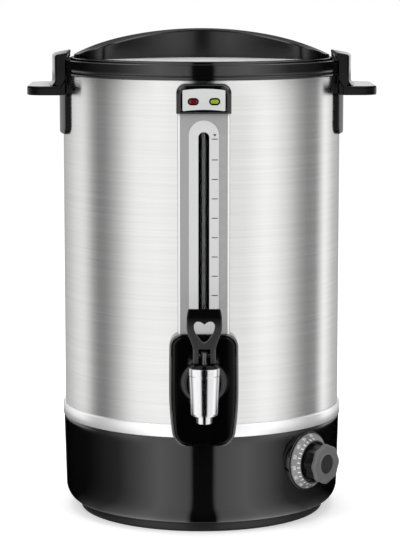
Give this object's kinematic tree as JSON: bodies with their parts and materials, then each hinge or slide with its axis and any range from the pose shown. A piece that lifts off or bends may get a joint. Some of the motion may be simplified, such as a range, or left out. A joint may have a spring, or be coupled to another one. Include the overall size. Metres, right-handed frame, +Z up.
{
  "type": "hot water urn",
  "caption": "Round steel hot water urn on a black plinth, with a push tap, a sight gauge, indicator lamps, a thermostat knob, side handles and a loose lid.",
  "frame": {"origin": "middle of the foot ring, on the surface that the urn stands on", "axes": "+Z up, -Y towards the tap, +X to the right as seen from the front"},
  "size_m": [0.349, 0.3423, 0.4894],
  "materials": {
    "gloss_black": "gloss",
    "satin_black": "satin",
    "jacket_steel": "brushed",
    "sheet_steel": "satin",
    "polished_steel": "polished",
    "chrome": "polished",
    "foot_rubber": "matte",
    "seal_rubber": "matte",
    "felt": "matte",
    "cast_aluminium": "cast",
    "copper": "satin",
    "ivory_plastic": "matte",
    "silver_print": "satin",
    "panel_grey": "satin",
    "scale_grey": "satin",
    "gauge_glass": "clear",
    "red_lens": "gloss",
    "green_lens": "gloss",
    "knob_grey": "satin",
    "dial_print": "satin"
  },
  "bodies": {
    "urn": {"base_housing": "gloss_black", "foot_ring": "foot_rubber", "bottom_cover": "sheet_steel", "cover_screws": "sheet_steel", "outer_shell": "jacket_steel", "trim_ring": "polished_steel", "top_collar": "gloss_black", "inner_tank": "sheet_steel", "insulation_wrap": "felt", "tank_support": "sheet_steel", "heating_plate": "cast_aluminium", "heating_element": "sheet_steel", "thermal_cutout": "ivory_plastic", "thermostat_body": "ivory_plastic", "thermostat_nut": "sheet_steel", "capillary_bulb": "copper", "power_inlet": "satin_black", "inlet_pins": "chrome", "handle_left": "gloss_black", "handle_right": "gloss_black", "handle_screws": "sheet_steel", "indicator_housing": "gloss_black", "indicator_fascia": "silver_print", "lamp_bezels": "satin_black", "lamp_red": "red_lens", "lamp_green": "green_lens", "lamp_holders": "ivory_plastic", "gauge_panel": "panel_grey", "scale_strip": "scale_grey", "gauge_liner": "satin_black", "sight_tube": "gauge_glass", "tube_cap": "satin_black", "tube_seal": "seal_rubber", "gauge_tee": "satin_black", "tap_shield": "gloss_black", "tap_boss": "gloss_black", "tap_shank": "chrome", "shank_washers": "seal_rubber", "shank_nut": "chrome", "tap_barrel": "chrome", "tap_bonnet": "satin_black", "valve_spring": "sheet_steel"},
    "stem": {"valve_stem": "chrome", "lever_pin": "chrome", "valve_cup": "seal_rubber"},
    "lever": {"tap_lever": "satin_black"},
    "lid": {"lid_cover": "gloss_black", "lid_handle": "gloss_black", "lid_disc": "jacket_steel", "lid_pan": "sheet_steel", "lid_screws": "sheet_steel"},
    "knob": {"knob_body": "satin_black", "knob_cap": "knob_grey", "knob_insert": "satin_black", "dial_ring": "dial_print", "thermostat_shaft": "sheet_steel"}
  },
  "joints": [
    {"name": "stem_lift", "type": "slide", "parent": "urn", "child": "stem", "axis": [0, 0, 1], "range_m": [0, 0.00315], "deforming": ["valve_spring"]},
    {"name": "lever_pull", "type": "hinge", "parent": "stem", "child": "lever", "pos_m": [0, -0.185, 0.186], "axis": [1, 0, 0], "range_deg": [0, 40], "stiffness_Nm_per_rad": 0.1, "springref_deg": -22.92},
    {"name": "lid_lift", "type": "slide", "parent": "urn", "child": "lid", "axis": [0, 0, 1], "range_m": [0, 0.12]},
    {"name": "knob_turn", "type": "hinge", "parent": "urn", "child": "knob", "pos_m": [0.10458, -0.09753, 0.065], "axis": [-0.7314, 0.682, 0], "range_deg": [0, 216]}
  ],
  "couplings": [
    {"joint": "stem_lift", "follows": "lever_pull", "m_per_rad": 0.0045}
  ]
}
